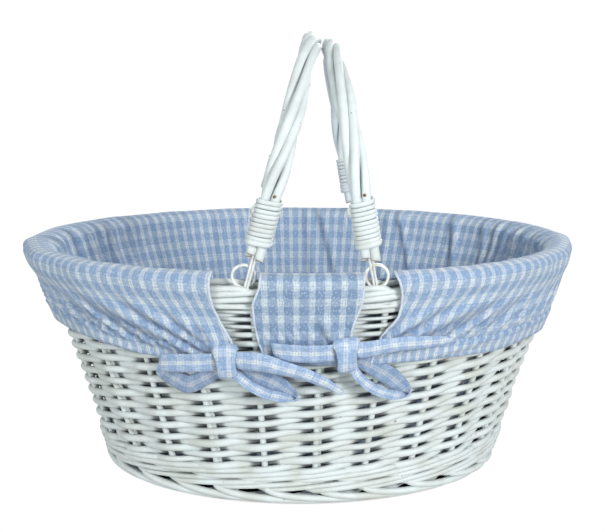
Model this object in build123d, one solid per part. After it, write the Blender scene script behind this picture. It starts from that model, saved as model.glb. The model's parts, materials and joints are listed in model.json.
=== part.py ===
from build123d import *
import math
import os

# An oval willow shopping and picnic basket with two drop handles and a tied cloth liner.
# Millimetres. +Z is up, X runs along the length, Y across the width (-Y is the front).
# The origin is on the floor, under the middle of the oval base.

# ---- wall line: the outside of the woven wall, an ellipse at every height ----
wall_top = 184.0
top_length = 441.0
top_width = 323.0
foot_length = 326.0  # the sloping wall line carried down to the floor
foot_width = 240.0
wall_thickness = 11.0

# ---- base and side weave ----
foot_height = 13.0
foot_inset = 24.0
foot_outline = [(0, 9.0), (2.5, 4.5), (7.0, 1.2)]  # height and inset of its rounded outside
base_bottom = 4.5
base_top = 12.8
wale_top = 26.0
weave_top = 160.0
top_wale_top = 166.0
core_top = 174.0
layer_gap = 0.2
overcut = 1.0  # how far a cutting shape runs past the face it cuts
stake_count = 24
stake_radius = 2.4
stake_inset = 5.5
stake_end_gap = 0.9  # the rods lean, so their ends stay this far from the layers above and below
stake_phase = 13.0  # the first stake stands this far to the right of the front middle
bye_stake_shift = 5.7  # centre distance from a stake to the bye-stake beside it
bye_stake_radius = 2.0
cross_stick_count = 7
cross_stick_pitch = 34.0
cross_stick_radius = 2.8
long_stick_count = 3
long_stick_pitch = 12.0
long_stick_radius = 1.6
stick_height = 8.6
stick_end_inset = 27.0

# ---- border at the rim ----
border_rod_radius = 2.3
border_rod_pitch = 4.7
outer_rod_inset = 2.4
inner_rod_inset = 13.7
outer_rod_low = 168.7
inner_rod_low = 171.6
border_rod_count = 3
core_outer_inset = 5.0
core_inner_inset = 11.1

# ---- hinges: a wire ring stands in the border, a wire link slides round it ----
ring_radius = 8.1
ring_wire_radius = 0.9
ring_inset = 8.0
pocket_half_length = 13.5
pocket_half_width = 3.8
pocket_floor = 174.0
pocket_rise = 10.0  # how far the slot is cut above the top of the wall
link_wire_radius = 0.9
link_half_gap = 2.15
link_strand_shift = 1.05
link_low = -9.8  # lowest point of the link's centre line, from the ring's centre
link_high = 36.0

# ---- handles: values for each side, from the ring centre ----
# lean: degrees from upright towards +X; reach: ring centre to crown centre line;
# shift: how far the rods stand to +X of the line through the ring centre;
# bind_low: where the cane binding starts
handles = {
    "left": {"x": -39.7, "z": 186.7, "lean": 15.4, "reach": 170.0, "shift": 3.8, "bind_low": 22.5},
    "right": {"x": 54.2, "z": 186.3, "lean": -9.6, "reach": 161.2, "shift": -2.3, "bind_low": 20.0},
}
rod_radius = 3.6
rod_shift = 3.75  # each of the four rods, from the middle of the bundle
rod_overhang = 6.5  # rod ends below the binding
haunch_radius = 80.0
leg_top = 62.0
binding_length = 36.0
binding_turns = 11
binding_bore = 8.95
binding_radius = 9.7
binding_bulge = 0.6
nail_radius = 0.8
nail_head_radius = 1.5
nail_head_height = 1.0
nail_length = 5.0
nail_rise = 3.0

# ---- liner: one cloth, modelled as floor, wall, two end cuffs and two flaps ----
cloth = 1.7
liner_gap = 0.5
cuff_hem = 116.0
flap_hem = 124.0
cuff_top = 189.6
cuff_thickness = 2.3
cuff_shoulder_top = 187.6
cuff_shoulder_inset = 1.0
cuff_top_inset = 4.0
cuff_roof = 2.4
liner_wall_top = 183.3
liner_rim_inset = 16.4
liner_flare_start = 158.0
liner_flare_end = 167.0
# Outlines of the two notches that part the cuffs from the flaps, as X and Z.
left_notch = [(-63, 210), (-63, 166), (-48, 128), (-44, 100), (-27, 100), (-27, 128)]
left_notch += [(-30.5, 150), (-30, 180), (-27, 184), (-27, 210)]
right_notch = [(43.5, 210), (43.5, 176), (35.5, 128), (35.5, 100), (52, 100), (54, 128)]
right_notch += [(70.5, 166), (69, 184), (66.5, 210)]

# ---- bows: the front pair; the back pair mirrors it ----
# Each piece is X, Z, length, height, turn in degrees and how far it stands off the cuffs.
bows = {
    "left": {
        "knot": [(-46.0, 126.0, 14.0, 17.0, 0, 2.0)],
        "loops": [(-78.0, 124.0, 46.0, 18.0, 2, 2.0), (-21.0, 110.0, 36.0, 12.0, 22, 2.0)],
        "tail": [(-3.0, 118.5, 66.0, 9.0, 17, 9.5)],
    },
    "right": {
        "knot": [(36.0, 133.0, 14.0, 17.0, 0, 2.0)],
        "loops": [(6.0, 137.0, 42.0, 17.0, -3, 2.0), (59.5, 113.0, 40.0, 14.0, 33, 2.0)],
        "tail": [(76.0, 133.5, 60.0, 9.0, -6, 8.0)],
    },
}
bow_depths = {"knot": 8.0, "loops": 5.0, "tail": 2.4}
soft_round = 1.1


def half_axes(z, inset=0.0):
    """Half length and half width of the wall line at a height, less an inset."""
    share = z / wall_top
    a = (foot_length + (top_length - foot_length) * share) / 2 - inset
    b = (foot_width + (top_width - foot_width) * share) / 2 - inset
    return a, b


def wall_point(angle, z, inset=0.0):
    a, b = half_axes(z, inset)
    return Vector(a * math.cos(angle), b * math.sin(angle), z)


def stack(sections):
    """A solid oval through (height, inset) sections, from the lowest up."""
    ovals = [Pos(0, 0, z) * Ellipse(*half_axes(z, inset)) for z, inset in sections]
    return loft(ovals, ruled=True)


def band(low, high, outer_inset, inner_inset):
    """A ring of wall between two heights."""
    outer = stack([(low, outer_inset), (high, outer_inset)])
    inner = stack([(low - overcut, inner_inset), (high + overcut, inner_inset)])
    return outer - inner


def oval_rod(z, inset, radius):
    """A rod bent into a closed oval, with an eight-sided section."""
    corner = radius / math.cos(math.pi / 8)
    near, far = corner * math.sin(math.pi / 8), corner * math.cos(math.pi / 8)
    steps = [(-far, near), (-near, far), (near, far), (far, near)]
    outer = stack([(z + rise, inset - reach) for rise, reach in steps])
    inner = stack([(z + rise, inset + reach) for rise, reach in steps])
    return outer - inner


def rod_between(p, q, radius):
    line = Line(p, q)
    start = Plane(origin=line @ 0, z_dir=line % 0)
    return sweep(start * Circle(radius), path=line)


def stake_angles():
    """Angles on the wall line, spaced evenly along the oval at mid height."""
    a, b = half_axes(wall_top / 2)
    steps = 3600
    angles = [2 * math.pi * i / steps for i in range(steps + 1)]
    lengths = [0.0]
    for low, high in zip(angles, angles[1:]):
        dx = a * (math.cos(high) - math.cos(low))
        dy = b * (math.sin(high) - math.sin(low))
        lengths.append(lengths[-1] + math.hypot(dx, dy))
    total = lengths[-1]
    found = []
    for i in range(stake_count):
        target = (0.75 * total + stake_phase + i * total / stake_count) % total
        nearest = min(range(steps), key=lambda k: abs(lengths[k] - target))
        found.append(angles[nearest])
    return found


def stakes():
    low, high = foot_height + stake_end_gap, top_wale_top - stake_end_gap
    rods = []
    for angle in stake_angles():
        foot = wall_point(angle, low, stake_inset)
        rods.append(rod_between(foot, wall_point(angle, high, stake_inset), stake_radius))
    return rods


def bye_stakes():
    """A second, thinner rod beside every other stake."""
    low, high = foot_height + stake_end_gap, top_wale_top - stake_end_gap
    rods = []
    for angle in stake_angles()[::2]:
        a, b = half_axes(wall_top / 2)
        stretch = math.hypot(a * math.sin(angle), b * math.cos(angle))
        beside = angle + bye_stake_shift / stretch
        foot = wall_point(beside, low, stake_inset)
        rods.append(rod_between(foot, wall_point(beside, high, stake_inset), bye_stake_radius))
    return rods


def base_sticks():
    """Long sticks lie through splits in the cross sticks."""
    a, b = half_axes(stick_height, stick_end_inset)
    cross = []
    for i in range(cross_stick_count):
        x = (i - (cross_stick_count - 1) / 2) * cross_stick_pitch
        reach = b * math.sqrt(1 - (x / a) ** 2)
        low, high = (x, -reach, stick_height), (x, reach, stick_height)
        cross.append(rod_between(low, high, cross_stick_radius))
    long = []
    for i in range(long_stick_count):
        y = (i - (long_stick_count - 1) / 2) * long_stick_pitch
        reach = a * math.sqrt(1 - (y / b) ** 2)
        low, high = (-reach, y, stick_height), (reach, y, stick_height)
        long.append(rod_between(low, high, long_stick_radius))
    cross = [stick - long for stick in cross]
    return cross, long


def foot():
    """The plaited foot border, with a flat underside and a rounded outer edge."""
    outer = stack(foot_outline + [(foot_height, 0.0)])
    inner = stack([(-overcut, foot_inset), (foot_height + overcut, foot_inset)])
    return outer - inner


def hinge_place(side):
    """Ring centre at the front: X, Y and Z."""
    handle = handles[side]
    a, b = half_axes(wall_top)
    y = -b * math.sqrt(1 - (handle["x"] / a) ** 2) + ring_inset
    return handle["x"], y, handle["z"]


def hinge_pockets():
    """Clearance slots in the border for the rings and links, front and back."""
    pockets = []
    for side in handles:
        x, y, _ = hinge_place(side)
        height = wall_top + pocket_rise - pocket_floor
        box = Box(2 * pocket_half_length, 2 * pocket_half_width, height)
        middle = pocket_floor + height / 2
        pockets.append(Pos(x, y, middle) * box)
        pockets.append(Pos(x, -y, middle) * box)
    return pockets


def hinge_ring(side, facing):
    x, y, z = hinge_place(side)
    return Pos(x, facing * y, z) * Rot(90, 0, 0) * Torus(ring_radius, ring_wire_radius)


def bail_path(span, reach, low, offset):
    """Legs, two haunch arcs and a crown arc, tangent to each other, in the YZ plane.

    The crown radius follows from the span, the reach and the haunch radius."""
    side = span - haunch_radius
    rise = reach - haunch_radius - leg_top
    crown_drop = (side**2 - rise**2) / (2 * rise)
    tilt = math.atan2(side, crown_drop)
    haunch = haunch_radius + offset
    crown_y, crown_z = 0.0, leg_top - crown_drop
    crown = reach - crown_z + offset

    def at(y, z, radius, angle):
        return Vector(0, y - radius * math.sin(angle), z + radius * math.cos(angle))

    def mirrored(p):
        return Vector(0, -p.Y, p.Z)

    end = Vector(0, -span - offset, low)
    shoulder = Vector(0, -span - offset, leg_top)
    mid = at(-side, leg_top, haunch, (tilt + math.pi / 2) / 2)
    join = at(-side, leg_top, haunch, tilt)
    top = at(crown_y, crown_z, crown, 0)
    return Wire(
        [
            Edge.make_line(end, shoulder),
            Edge.make_three_point_arc(shoulder, mid, join),
            Edge.make_three_point_arc(join, top, mirrored(join)),
            Edge.make_three_point_arc(mirrored(join), mirrored(mid), mirrored(shoulder)),
            Edge.make_line(mirrored(shoulder), mirrored(end)),
        ]
    )


def binding_profile(low):
    """Half section of a leg's cane binding, one bulge for each turn."""
    pitch = binding_length / binding_turns
    edges = []
    for i in range(binding_turns):
        z = low + i * pitch
        start = (binding_radius, z)
        middle = (binding_radius + binding_bulge, z + pitch / 2)
        edges.append(ThreePointArc(start, middle, (binding_radius, z + pitch)))
    high = low + binding_length
    top = Line((binding_radius, high), (binding_bore, high))
    inside = Line((binding_bore, high), (binding_bore, low))
    bottom = Line((binding_bore, low), (binding_radius, low))
    return make_face(Curve() + edges + [top, inside, bottom])


def link_wires(y, shift):
    """Two hairpins of wire side by side. Each holds the ring and runs up into the rods."""
    low = link_low + link_half_gap
    wires = []
    for side in (-1, 1):
        x = shift + side * link_strand_shift
        front, back = y - link_half_gap, y + link_half_gap
        path = Wire(
            [
                Edge.make_line((x, front, link_high), (x, front, low)),
                Edge.make_three_point_arc((x, front, low), (x, y, link_low), (x, back, low)),
                Edge.make_line((x, back, low), (x, back, link_high)),
            ]
        )
        start = Plane(origin=(x, front, link_high), z_dir=(0, 0, -1))
        wires.append(sweep(start * Circle(link_wire_radius), path=path))
    return wires


def nail(y, z, shift, facing):
    """A small round-headed nail driven in above the binding, from outside."""
    face = y + facing * (rod_shift + rod_radius)
    shank = Pos(shift, face - facing * nail_length / 2, z) * Rot(90, 0, 0)
    head = Pos(shift, face + facing * nail_head_height / 2, z) * Rot(90, 0, 0)
    return shank * Cylinder(nail_radius, nail_length) + head * Cylinder(nail_head_radius, nail_head_height)


def make_handle(side, parts):
    """One drop handle, built upright over its ring centre and then leaned over."""
    handle = handles[side]
    x, y, z = hinge_place(side)
    span, shift = -y, handle["shift"]
    low = handle["bind_low"]
    place = Pos(x, 0, z) * Rot(0, handle["lean"], 0)
    links = {"front": link_wires(y, shift), "back": link_wires(-y, shift)}
    nail_z = low + binding_length + nail_rise
    nails = [
        nail(y, nail_z, shift + rod_shift, -1),
        nail(-y, nail_z, shift + rod_shift, 1),
    ]
    cutters = links["front"] + links["back"] + nails
    number = 0
    for across in (-rod_shift, rod_shift):
        for offset in (-rod_shift, rod_shift):
            number += 1
            path = bail_path(span, handle["reach"], low - rod_overhang, offset)
            start = Plane(origin=path @ 0, z_dir=(0, 0, 1))
            rod = Pos(shift + across, 0, 0) * sweep(start * Circle(rod_radius), path=path)
            parts[f"{side}_handle_rod_{number}"] = [place * (rod - cutters)]
    for end, leg_y in (("front", y), ("back", -y)):
        profile = Plane.XZ * binding_profile(low)
        turned = revolve(profile, axis=Axis.Z)
        parts[f"{side}_{end}_binding"] = [place * Pos(shift, leg_y, 0) * turned]
        parts[f"{side}_{end}_link"] = [place * wire for wire in links[end]]
    parts[f"{side}_handle_nails"] = [place * piece for piece in nails]


def notch(points):
    """A prism through front and back that separates a flap from a cuff."""
    face = Plane.XZ * make_face(Polyline(*points, close=True))
    return extrude(face, amount=top_width, both=True)


def notches():
    return [notch(left_notch), notch(right_notch)]


def rim_cloth(hem):
    """The cloth folded over the rim: outer skirt, roof over the border, short inner lip."""
    outset = liner_gap + cuff_thickness
    lip = liner_wall_top + layer_gap
    roof = cuff_top - cuff_roof
    shoulder = [(wall_top, -outset), (cuff_shoulder_top, cuff_shoulder_inset - outset)]
    outer = stack([(hem, -outset)] + shoulder + [(cuff_top, cuff_top_inset)])
    below = stack([(hem - overcut, -liner_gap), (lip, -liner_gap)])
    over = band(lip - overcut, roof, -liner_gap, liner_rim_inset - layer_gap)
    low = lip - 2 * overcut
    inside = stack([(low, liner_rim_inset + cloth), (cuff_top + overcut, liner_rim_inset + cloth)])
    return outer - below - over - inside


def liner_wall():
    side = wall_thickness + liner_gap
    low = base_top + 2 * layer_gap
    outer = stack(
        [(low, side), (liner_flare_start, side)]
        + [(liner_flare_end, liner_rim_inset), (liner_wall_top, liner_rim_inset)]
    )
    inner = stack(
        [(low - overcut, side + cloth), (liner_flare_start, side + cloth)]
        + [(liner_flare_end, liner_rim_inset + cloth)]
        + [(liner_wall_top + overcut, liner_rim_inset + cloth)]
    )
    return outer - inner


def on_cuff(x, z, stand_off):
    """A place on the front of the cuffs: local X along the wall, local Y into it."""
    a, b = half_axes(z, -liner_gap - cuff_thickness - stand_off)
    y = -b * math.sqrt(1 - (x / a) ** 2)
    turn = math.degrees(math.atan(-b * b * x / (a * a * y)))
    lean = math.degrees(math.atan2((top_width - foot_width) / 2, wall_top))
    return Pos(x, y, z) * Rot(0, 0, turn) * Rot(lean, 0, 0)


def make_bow(side, parts):
    """A tied bow: knot, two loops and a tail, plain slabs with rounded edges."""
    for name, pieces in bows[side].items():
        depth = bow_depths[name]
        solids = []
        for x, z, length, height, turn, stand_off in pieces:
            slab = Box(length, depth, height)
            place = on_cuff(x, z, stand_off + depth / 2) * Rot(0, turn, 0)
            solids.append(place * fillet(slab.edges(), soft_round))
        parts[f"front_{side}_bow_{name}"] = solids
        parts[f"back_{side}_bow_{name}"] = [mirror(s, about=Plane.XZ) for s in solids]


def main():
    os.makedirs("parts", exist_ok=True)
    parts = {}

    cross, long = base_sticks()
    parts["base_cross_sticks"] = cross
    parts["base_long_sticks"] = long
    base = stack([(base_bottom, foot_inset + layer_gap), (base_top, foot_inset + layer_gap)])
    parts["base_weave"] = [base - cross - long]
    parts["foot_border"] = [foot()]

    uprights = stakes()
    byes = bye_stakes()
    parts["stakes"] = uprights
    parts["bye_stakes"] = byes
    posts = uprights + byes
    low = foot_height + layer_gap
    parts["upsett_wale"] = [band(low, wale_top, 0, wall_thickness) - posts]
    low = wale_top + layer_gap
    parts["side_weave"] = [band(low, weave_top, 0, wall_thickness) - posts]
    low = weave_top + layer_gap
    parts["top_wale"] = [band(low, top_wale_top, 0, wall_thickness) - posts]

    pockets = hinge_pockets()
    low = top_wale_top + layer_gap
    parts["border_core"] = [band(low, core_top, core_outer_inset, core_inner_inset)]
    for i, level in zip(range(border_rod_count), ("lower", "middle", "upper")):
        rise = i * border_rod_pitch
        outer = oval_rod(outer_rod_low + rise, outer_rod_inset, border_rod_radius)
        inner = oval_rod(inner_rod_low + rise, inner_rod_inset, border_rod_radius)
        parts[f"border_rod_outer_{level}"] = [outer - pockets]
        parts[f"border_rod_inner_{level}"] = [inner - pockets]

    for side in handles:
        parts[f"{side}_front_hinge_ring"] = [hinge_ring(side, 1)]
        parts[f"{side}_back_hinge_ring"] = [hinge_ring(side, -1)]
        make_handle(side, parts)

    floor_inset = wall_thickness + liner_gap + cloth + layer_gap
    low = base_top + 2 * layer_gap
    parts["liner_floor"] = [stack([(low, floor_inset), (low + cloth, floor_inset)])]
    parts["liner_wall"] = [liner_wall()]
    cuffs = rim_cloth(cuff_hem)
    flaps = rim_cloth(flap_hem)
    for cut in notches():
        cuffs = cuffs - cut
        flaps = flaps - cut
    cuffs = cuffs.solids().sort_by(Axis.X)
    flaps = flaps.solids().filter_by(lambda s: abs(s.center().X) < top_length / 8).sort_by(Axis.Y)
    parts["left_cuff"] = [cuffs[0]]
    parts["right_cuff"] = [cuffs[-1]]
    parts["front_flap"] = [flaps[0]]
    parts["back_flap"] = [flaps[-1]]
    for side in bows:
        make_bow(side, parts)

    for name, solids in parts.items():
        pieces = [solid for shape in solids for solid in shape.solids()]
        shape = pieces[0] if len(pieces) == 1 else Compound(pieces)
        export_step(shape, f"parts/{name}.step")
        print(name, len(pieces), round(sum(s.volume for s in pieces)))


main()
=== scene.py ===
"""Oval wicker picnic basket with a tied gingham liner and two drop handles.

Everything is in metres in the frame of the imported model: +Z up, X along the basket, front at -Y."""

import json
import math

import bpy
import numpy as np
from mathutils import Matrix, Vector


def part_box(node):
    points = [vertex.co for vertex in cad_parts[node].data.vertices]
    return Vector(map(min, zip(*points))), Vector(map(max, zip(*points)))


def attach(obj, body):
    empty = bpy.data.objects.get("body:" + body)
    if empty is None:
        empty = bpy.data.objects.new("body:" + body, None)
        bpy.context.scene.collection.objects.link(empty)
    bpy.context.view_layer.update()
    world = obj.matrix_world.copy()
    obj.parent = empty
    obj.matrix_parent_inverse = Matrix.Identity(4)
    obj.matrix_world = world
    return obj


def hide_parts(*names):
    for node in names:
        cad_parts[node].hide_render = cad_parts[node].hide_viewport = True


MM = 0.001
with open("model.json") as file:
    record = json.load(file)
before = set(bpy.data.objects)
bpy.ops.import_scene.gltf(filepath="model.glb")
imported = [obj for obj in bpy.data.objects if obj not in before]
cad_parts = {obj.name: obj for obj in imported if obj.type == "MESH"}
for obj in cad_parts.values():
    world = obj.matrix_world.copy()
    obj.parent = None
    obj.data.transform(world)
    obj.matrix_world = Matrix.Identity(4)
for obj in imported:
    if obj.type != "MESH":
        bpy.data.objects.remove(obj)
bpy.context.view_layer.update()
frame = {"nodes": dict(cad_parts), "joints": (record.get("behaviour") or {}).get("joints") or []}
nodes = frame["nodes"]
rng = np.random.default_rng(11)

# ---- wall line
STAKES = 24
STAKE_PHASE = 13 * MM
LOW_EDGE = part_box("upsett_wale")[1]
HIGH_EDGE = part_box("side_weave")[1]
MID_HEIGHT = 92 * MM


def half_axes(z, inset=0.0):
    """Half length and half width of the wall's outside at a height, less an inset."""
    share = (np.asarray(z) - LOW_EDGE[2]) / (HIGH_EDGE[2] - LOW_EDGE[2])
    a = LOW_EDGE[0] + (HIGH_EDGE[0] - LOW_EDGE[0]) * share - inset
    b = LOW_EDGE[1] + (HIGH_EDGE[1] - LOW_EDGE[1]) * share - inset
    return a, b


def stacked(*parts):
    """Arrays joined along a new last axis, each stretched to the common shape."""
    return np.stack(np.broadcast_arrays(*parts), axis=-1)


def run_along(points):
    """Length of a line from its start to each of its points."""
    return np.concatenate([[0], np.cumsum(np.linalg.norm(np.diff(points, axis=0), axis=1))])


def unit(vectors):
    return vectors / np.linalg.norm(vectors, axis=1)[:, None]


def wall(angle, z, inset):
    """Points on the wall at an angle of its ellipse, a height and a distance inwards."""
    a, b = half_axes(z, inset)
    return stacked(a * np.cos(angle), b * np.sin(angle), z)


ARC_ANGLES = np.linspace(0, 2 * math.pi, 7201)
ARC_LENGTHS = run_along(wall(ARC_ANGLES, MID_HEIGHT, 0.0))
GIRTH = ARC_LENGTHS[-1]


def angle_at(length):
    """Angle on the oval after a length of wall at mid height, counted from +X."""
    turns = np.floor(length / GIRTH)
    return np.interp(length - turns * GIRTH, ARC_LENGTHS, ARC_ANGLES) + turns * 2 * math.pi


def length_at(angle):
    turns = np.floor(angle / (2 * math.pi))
    return np.interp(angle - turns * 2 * math.pi, ARC_ANGLES, ARC_LENGTHS) + turns * GIRTH


def round_gap(along):
    """The shorter way round between two places along the girth, with its sign."""
    return (along + GIRTH / 2) % GIRTH - GIRTH / 2


def stake_angle(u):
    """Angle of stake number u; a fraction lies between two stakes."""
    return angle_at(0.75 * GIRTH + STAKE_PHASE + np.asarray(u) * GIRTH / STAKES)


# ---- mesh tools
def smooth(x, low, high):
    t = np.clip((np.asarray(x, float) - low) / (high - low), 0, 1)
    return t * t * (3 - 2 * t)


def bell(x, width):
    return np.exp(-((x / width) ** 2))


def spline(points, steps):
    """Catmull-Rom curve through the points, evenly divided between each pair."""
    p = np.asarray(points, float)
    p = np.vstack([2 * p[0] - p[1], p, 2 * p[-1] - p[-2]])
    out = []
    for i in range(1, len(p) - 2):
        t = np.linspace(0, 1, steps, endpoint=False)[:, None]
        a, b, c, d = p[i - 1], p[i], p[i + 1], p[i + 2]
        out.append(0.5 * (2 * b + (c - a) * t + (2 * a - 5 * b + 4 * c - d) * t**2
                          + (3 * b - a - 3 * c + d) * t**3))
    return np.vstack(out + [p[-2][None]])


def skin(rings, sides, closed=False, flip=False):
    """Faces of a rod made of rings of points, with both ends shut unless it is closed."""
    faces = []
    for i in range(rings if closed else rings - 1):
        a, b = i * sides, ((i + 1) % rings) * sides
        for k in range(sides):
            m = (k + 1) % sides
            faces.append((a + k, b + k, b + m, a + m))
    if not closed:
        faces.append(tuple(range(sides)))
        faces.append(tuple(reversed(range((rings - 1) * sides, rings * sides))))
    return [face[::-1] for face in faces] if flip else faces


def put_in_scene(name, data):
    ob = bpy.data.objects.new(name, data)
    bpy.context.scene.collection.objects.link(ob)
    return ob


class Build:
    """Collects rods and sheets, then makes one mesh object of them."""

    def __init__(self):
        self.verts, self.faces, self.uvs, self.slots, self.tones = [], [], [], [], []
        self.painted_shades = []
        self.count = 0

    def add(self, verts, faces, uvs, slots=None, tone=0.5, hollow=0.0):
        verts = verts.reshape(-1, 3)
        self.verts.append(verts)
        self.faces += [tuple(int(i) + self.count for i in f) for f in faces]
        self.uvs.append(uvs.reshape(-1, 2))
        self.slots += list(slots) if slots is not None else [0] * len(faces)
        self.tones.append(np.full(len(verts), tone))
        self.painted_shades.append(np.broadcast_to(hollow, (len(verts),)))
        self.count += len(verts)

    def tube(self, points, radius, side=(0, 0, 1), sides=8, deep=1.0, closed=False,
             caps=(0, 0), cut=None, hollow=0.0, painted_edge_shade=0.0):
        """A round or flattened rod. side is one direction across it and deep scales the other.

        Two arguments paint shade into the colour: one gives painted shade at each point, as in
        recesses, the other painted shade along the two edges where neighbouring rods touch."""
        p = np.asarray(points, float)
        n = len(p)
        if closed:
            tangent = np.roll(p, -1, axis=0) - np.roll(p, 1, axis=0)
        else:
            tangent = np.gradient(p, axis=0)
        tangent = unit(tangent)
        across = unit(side - tangent * np.sum(side * tangent, axis=1)[:, None])
        other = np.cross(tangent, across)
        r = np.broadcast_to(radius, (n,))[:, None, None]
        turn = np.arange(sides) * 2 * math.pi / sides
        ring = (np.cos(turn)[None, :, None] * across[:, None]
                + np.sin(turn)[None, :, None] * other[:, None] * deep) * r
        verts = p[:, None] + ring
        if cut is not None:
            verts[0] += tangent[0] * (ring[0] @ cut[0])[:, None]
            verts[-1] += tangent[-1] * (ring[-1] @ cut[1])[:, None]
        uvs = stacked(run_along(p)[:, None], turn[None] / 100)
        faces = skin(n, sides, closed)
        slots = [0] * (n * sides) if closed else [0] * ((n - 1) * sides) + list(caps)
        # Painted shade at each point, and painted shade along the two edges where rods touch.
        along = np.broadcast_to(hollow, (n,))[:, None]
        shade = np.maximum(along, painted_edge_shade * np.abs(np.cos(turn))[None] ** 5)
        self.add(verts, faces, uvs, slots, tone=float(rng.random()), hollow=shade.ravel())

    def grid(self, verts, uvs, wrap=False, hollow=0.0):
        """A sheet from an array of rows by columns."""
        rows, cols = verts.shape[:2]
        faces = []
        for j in range(rows - 1):
            for i in range(cols if wrap else cols - 1):
                k = (i + 1) % cols
                faces.append((j * cols + i, j * cols + k, (j + 1) * cols + k, (j + 1) * cols + i))
        shade = np.broadcast_to(np.clip(hollow, 0, 1), (rows, cols)).ravel()
        self.add(verts, faces, uvs, hollow=shade)

    def mesh(self, name, materials):
        mesh = bpy.data.meshes.new(name)
        verts = np.vstack(self.verts)
        mesh.from_pydata(verts.tolist(), [], self.faces)
        uv = np.vstack(self.uvs)
        layer = mesh.uv_layers.new(name="cloth")
        corners = np.empty(len(mesh.loops), dtype=np.int64)
        mesh.loops.foreach_get("vertex_index", corners)
        layer.data.foreach_set("uv", uv[corners].astype(np.float32).ravel())
        # tone is a random tone for each rod; the second attribute holds painted shade for the
        # materials.
        for key, values in (("tone", self.tones), ("hollow", self.painted_shades)):
            attribute = mesh.attributes.new(key, "FLOAT", "POINT")
            attribute.data.foreach_set("value", np.concatenate(values).astype(np.float32))
        for m in materials:
            mesh.materials.append(m)
        mesh.polygons.foreach_set("material_index", self.slots)
        mesh.polygons.foreach_set("use_smooth", [True] * len(mesh.polygons))
        mesh.update()
        return put_in_scene(name, mesh)

    def object(self, name, body, materials, stands_for=()):
        ob = self.mesh(name, materials)
        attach(ob, body)
        if stands_for:
            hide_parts(*stands_for)
        return ob


# ---- materials
def linear(r, g, b):
    """Scene colour from screen values of 0 to 255."""
    out = []
    for v in (r, g, b):
        v /= 255
        out.append(v / 12.92 if v <= 0.04045 else ((v + 0.055) / 1.055) ** 2.4)
    return (*out, 1.0)


class Nodes:
    """Short forms for building a node tree."""

    def __init__(self, name):
        self.material = bpy.data.materials.new(name)
        self.material.use_nodes = True
        self.tree = self.material.node_tree
        self.shader = self.tree.nodes["Principled BSDF"]

    def new(self, kind, **values):
        node = self.tree.nodes.new(kind)
        for key, value in values.items():
            setattr(node, key, value)
        return node

    def put(self, value, socket):
        if isinstance(value, bpy.types.NodeSocket):
            self.tree.links.new(value, socket)
        else:
            socket.default_value = value

    def math(self, operation, a, b=0.0):
        node = self.new("ShaderNodeMath", operation=operation)
        self.put(a, node.inputs[0])
        self.put(b, node.inputs[1])
        return node.outputs[0]

    def mix(self, share, a, b):
        node = self.new("ShaderNodeMix", data_type="RGBA")
        self.put(share, node.inputs[0])
        self.put(a, node.inputs[6])
        self.put(b, node.inputs[7])
        return node.outputs[2]

    def noise(self, vector, scale, detail=2.0, rough=0.5):
        node = self.new("ShaderNodeTexNoise")
        self.put(vector, node.inputs["Vector"])
        node.inputs["Scale"].default_value = scale
        node.inputs["Detail"].default_value = detail
        node.inputs["Roughness"].default_value = rough
        return node.outputs["Fac"]

    def ramp(self, value, low, high, start=0.0, end=1.0):
        node = self.new("ShaderNodeMapRange", interpolation_type="SMOOTHSTEP")
        self.put(value, node.inputs["Value"])
        limits = {"From Min": low, "From Max": high, "To Min": start, "To Max": end}
        for key, number in limits.items():
            node.inputs[key].default_value = number
        return node.outputs["Result"]

    def place(self):
        return self.new("ShaderNodeTexCoord").outputs["Object"]

    def cloth_uv(self):
        return self.new("ShaderNodeUVMap", uv_map="cloth").outputs["UV"]

    def attribute(self, name):
        return self.new("ShaderNodeAttribute", attribute_name=name).outputs["Fac"]

    def scaled(self, vector, factors):
        node = self.new("ShaderNodeVectorMath", operation="MULTIPLY")
        self.put(vector, node.inputs[0])
        node.inputs[1].default_value = factors
        return node.outputs[0]

    def bump(self, height, distance, strength, under=None):
        node = self.new("ShaderNodeBump")
        node.inputs["Strength"].default_value = strength
        node.inputs["Distance"].default_value = distance
        self.put(height, node.inputs["Height"])
        if under is not None:
            self.put(under, node.inputs["Normal"])
        return node.outputs["Normal"]

    def finish(self, color, roughness, normal=None, **fixed):
        self.put(color, self.shader.inputs["Base Color"])
        self.put(roughness, self.shader.inputs["Roughness"])
        if normal is not None:
            self.put(normal, self.shader.inputs["Normal"])
        for key, value in fixed.items():
            self.shader.inputs[key.replace("_", " ")].default_value = value
        return self.material


def willow_paint(name, grain=True, white=(226, 234, 234), shade=(208, 212, 206)):
    """White paint on willow: uneven cover, fine grain along the rod, a few bare brown specks and
    painted shade in recesses.
    """
    n = Nodes(name)
    place = n.place()
    uneven = n.ramp(n.noise(place, 55, 4), 0.35, 0.7)
    color = n.mix(uneven, linear(*white), linear(*shade))
    if grain:
        tone = n.ramp(n.attribute("tone"), 0.0, 1.0, 0.0, 0.45)
        color = n.mix(tone, color, linear(228, 235, 236))
        streak = n.noise(n.scaled(n.cloth_uv(), (60, 9000, 1)), 1, 3)
        color = n.mix(n.ramp(streak, 0.52, 0.75, 0.0, 0.3), color, linear(192, 191, 180))
    spots = n.noise(place, 210, 2, 0.6)
    color = n.mix(n.ramp(spots, 0.735, 0.77, 0.0, 0.8), color, linear(128, 96, 66))
    # Painted shade: the colour darkens towards grey by the per-point shade attribute, behind stakes
    # and where rods touch.
    color = n.mix(n.attribute("hollow"), color, linear(52, 54, 60))
    height = n.noise(place, 900, 2)
    if grain:
        height = n.math("ADD", height, n.noise(n.scaled(n.cloth_uv(), (90, 7000, 1)), 1, 2))
    rough = n.ramp(uneven, 0.0, 1.0, 0.36, 0.52)
    normal = n.bump(height, 0.0003, 0.35)
    return n.finish(color, rough, normal, Specular_IOR_Level=0.45)


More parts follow.
